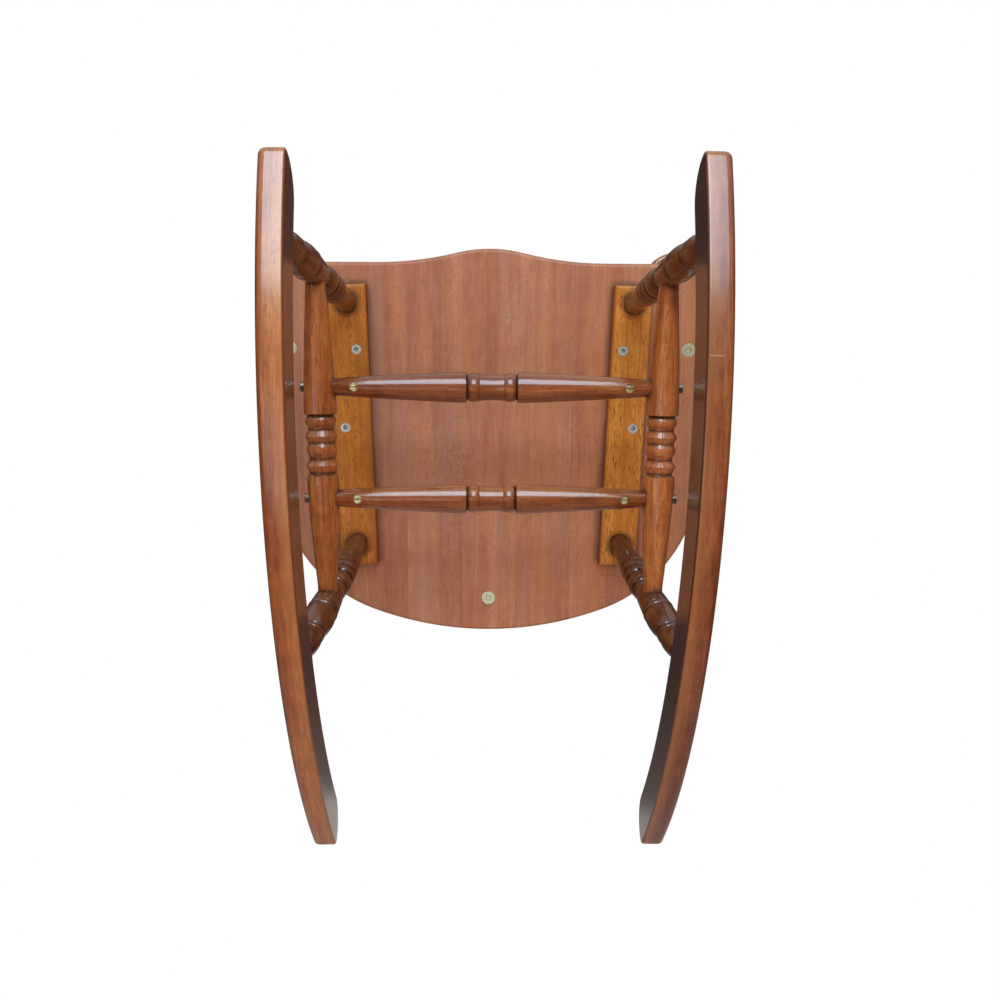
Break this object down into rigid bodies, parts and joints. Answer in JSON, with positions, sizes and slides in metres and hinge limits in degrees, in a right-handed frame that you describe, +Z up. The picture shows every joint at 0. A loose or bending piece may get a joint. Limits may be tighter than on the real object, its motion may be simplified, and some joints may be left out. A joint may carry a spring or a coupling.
{
  "type": "hoop back rocking chair",
  "caption": "Wooden rocking chair with a bent hoop back and turned spindles, shaped arms, a solid seat bolted to cleats, and turned legs and stretchers on curved rockers.",
  "frame": {"origin": "on the floor, midway between the rockers and midway between their tips", "axes": "+X to the right as seen from the front, +Y to the rear, +Z up"},
  "size_m": [0.656, 0.8132, 0.9882],
  "materials": {
    "seat_wood": "satin reddish-brown stain over fine straight grain, glued from boards",
    "cleat_wood": "satin golden brown stain",
    "turned_wood": "gloss reddish-brown lacquer, darker in the grooves",
    "bent_wood": "gloss reddish-brown lacquer over long grain",
    "steel": "dark plated steel",
    "brass": "satin brass plating"
  },
  "bodies": {
    "root": {"seat": "seat_wood", "cleat_left": "cleat_wood", "cleat_right": "cleat_wood", "leg_front_left": "turned_wood", "leg_front_right": "turned_wood", "leg_rear_left": "turned_wood", "leg_rear_right": "turned_wood", "rocker_left": "turned_wood", "rocker_right": "turned_wood", "side_stretcher_left": "turned_wood", "side_stretcher_right": "turned_wood", "cross_stretcher_front": "turned_wood", "cross_stretcher_rear": "turned_wood", "bow": "bent_wood", "back_spindle_1": "turned_wood", "back_spindle_2": "turned_wood", "back_spindle_3": "turned_wood", "back_spindle_4": "turned_wood", "back_spindle_5": "turned_wood", "back_spindle_6": "turned_wood", "back_spindle_7": "turned_wood", "arm_left": "bent_wood", "arm_right": "bent_wood", "arm_post_left": "turned_wood", "arm_post_right": "turned_wood", "arm_spindle_left_1": "turned_wood", "arm_spindle_left_2": "turned_wood", "arm_spindle_right_1": "turned_wood", "arm_spindle_right_2": "turned_wood", "stretcher_bolts": "steel", "cleat_bolts": "steel", "arm_screws": "steel", "barrel_nuts": "brass", "seat_bolts": "brass"}
  },
  "joints": []
}
